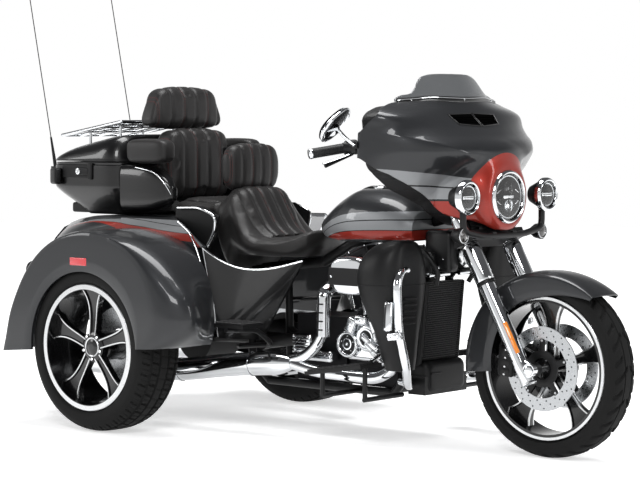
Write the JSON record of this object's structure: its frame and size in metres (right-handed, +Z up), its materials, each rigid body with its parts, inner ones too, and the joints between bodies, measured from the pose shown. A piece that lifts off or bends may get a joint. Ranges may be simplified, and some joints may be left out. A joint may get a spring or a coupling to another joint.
{
  "type": "touring motor trike",
  "caption": "Full-dress touring trike with a V-twin engine, steered front wheel, fork-mounted fairing, luggage box with a lid and a trunk between the rear fenders.",
  "frame": {"origin": "on the ground, below the middle of the overall box, the aerials included", "axes": "+X forward, +Y to the rider's left, +Z up"},
  "size_m": [2.8776, 1.4, 1.9286],
  "materials": {
    "paint_charcoal": "gloss",
    "frame_black": "satin",
    "chrome": "polished",
    "leather": "stitched",
    "red_lens": "clear red",
    "smoked_screen": "smoked",
    "wheel_black": "gloss, spoke edges machined",
    "disc_steel": "brushed",
    "tyre": "matt"
  },
  "bodies": {
    "chassis": {"frame": "frame_black", "crankcase": "frame_black", "cylinders": "frame_black", "cam_cover": "chrome", "primary_cover": "chrome", "air_cleaner": "chrome", "exhaust": "chrome", "fuel_tank": "paint_charcoal", "seat_base": "frame_black", "seat": "leather", "rider_backrest": "leather", "side_covers": "frame_black", "leg_shields": "paint_charcoal", "engine_guard": "chrome", "oil_cooler": "frame_black", "footboards": "frame_black", "rear_body": "paint_charcoal", "rear_fenders": "paint_charcoal", "tail_lamps": "red_lens", "axle_housing": "frame_black", "swingarm": "frame_black", "luggage_box": "paint_charcoal", "speaker_pods": "paint_charcoal", "passenger_backrest": "leather", "aerials": "frame_black"},
    "front_wheel": {"front_tyre": "tyre", "front_rim": "wheel_black", "front_discs": "disc_steel"},
    "right_rear_wheel": {"right_rear_tyre": "tyre", "right_rear_rim": "wheel_black"},
    "left_rear_wheel": {"left_rear_tyre": "tyre", "left_rear_rim": "wheel_black"},
    "trunk_door": {"trunk_door": "paint_charcoal"},
    "lid": {"luggage_lid": "paint_charcoal", "luggage_rack": "chrome", "headrest": "leather"},
    "fork": {"yokes": "frame_black", "fork_legs": "chrome", "front_calipers": "frame_black", "front_fender": "paint_charcoal", "handlebar": "chrome", "fairing": "paint_charcoal", "inner_fairing": "frame_black", "windscreen": "smoked_screen", "headlamp": "chrome", "passing_lamps": "chrome", "mirrors": "chrome"}
  },
  "joints": [
    {"name": "steering", "type": "hinge", "parent": "chassis", "child": "fork", "pos_m": [1.21654, 0, 0], "axis": [-0.4384, 0, 0.8988], "range_deg": [-32, 32]},
    {"name": "front_wheel_spin", "type": "hinge", "parent": "fork", "child": "front_wheel", "pos_m": [1.11954, 0, 0.3193], "axis": [0, 1, 0], "continuous": true},
    {"name": "right_wheel_spin", "type": "hinge", "parent": "chassis", "child": "right_rear_wheel", "pos_m": [-0.57046, -0.576, 0.3254], "axis": [0, 1, 0], "continuous": true},
    {"name": "left_wheel_spin", "type": "hinge", "parent": "chassis", "child": "left_rear_wheel", "pos_m": [-0.57046, 0.576, 0.3254], "axis": [0, 1, 0], "continuous": true},
    {"name": "trunk_door_hinge", "type": "hinge", "parent": "chassis", "child": "trunk_door", "pos_m": [-1.18046, 0, 0.426], "axis": [0, -1, 0], "range_deg": [0, 90]},
    {"name": "lid_hinge", "type": "hinge", "parent": "chassis", "child": "lid", "pos_m": [-0.99296, 0.32, 1.0203], "axis": [-1, 0, 0], "range_deg": [0, 70]}
  ]
}
